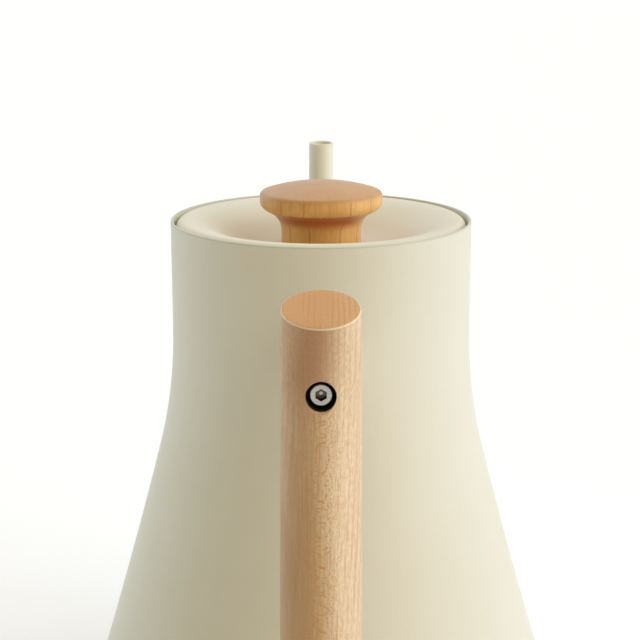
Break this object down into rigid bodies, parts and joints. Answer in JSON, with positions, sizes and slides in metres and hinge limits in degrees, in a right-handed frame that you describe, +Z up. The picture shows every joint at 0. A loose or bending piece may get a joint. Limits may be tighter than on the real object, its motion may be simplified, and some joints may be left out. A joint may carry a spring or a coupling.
{
  "type": "gooseneck kettle",
  "caption": "Stovetop gooseneck kettle: coated steel body, slim curved spout, lift-off dished lid with a wooden knob, and a bent wooden grip on a welded arm.",
  "frame": {"origin": "middle of the base's underside, on the body's axis", "axes": "+Z up along the body's axis, +Y towards the spout, grip towards -Y"},
  "size_m": [0.1332, 0.2276, 0.1583],
  "materials": {
    "cream_coat": "matt cream powder coat",
    "steel": "bare stainless steel, finely brushed",
    "screw_steel": "plain stainless steel fastener",
    "aluminium": "rolled sheet, as pressed",
    "brass": "turned brass",
    "silicone": "matt food grade silicone",
    "grip_wood": "oiled pale beech, grain along the grip",
    "knob_wood": "oiled beech, turned"
  },
  "bodies": {
    "kettle": {"body_shell": "cream_coat", "bottom_pan": "steel", "heat_disc": "aluminium", "base_cap": "steel", "spout_root": "cream_coat", "spout_tube": "cream_coat", "lid_seat_ring": "steel", "handle_arm": "cream_coat", "arm_plug": "steel", "grip_pin": "steel", "handle_grip": "grip_wood", "handle_washer": "steel", "handle_screw": "screw_steel"},
    "lid": {"lid_top": "cream_coat", "lid_pan": "steel", "lid_spacer": "steel", "lid_gasket": "silicone", "knob_gasket": "silicone", "lid_knob": "knob_wood", "knob_insert": "brass", "knob_washer": "steel", "knob_screw": "screw_steel", "whistle_tube": "steel", "whistle_upper_disc": "brass", "whistle_lower_disc": "brass"}
  },
  "joints": [
    {"name": "lid_lift", "type": "slide", "parent": "kettle", "child": "lid", "axis": [0, 0, 1], "range_m": [0, 0.06]}
  ]
}
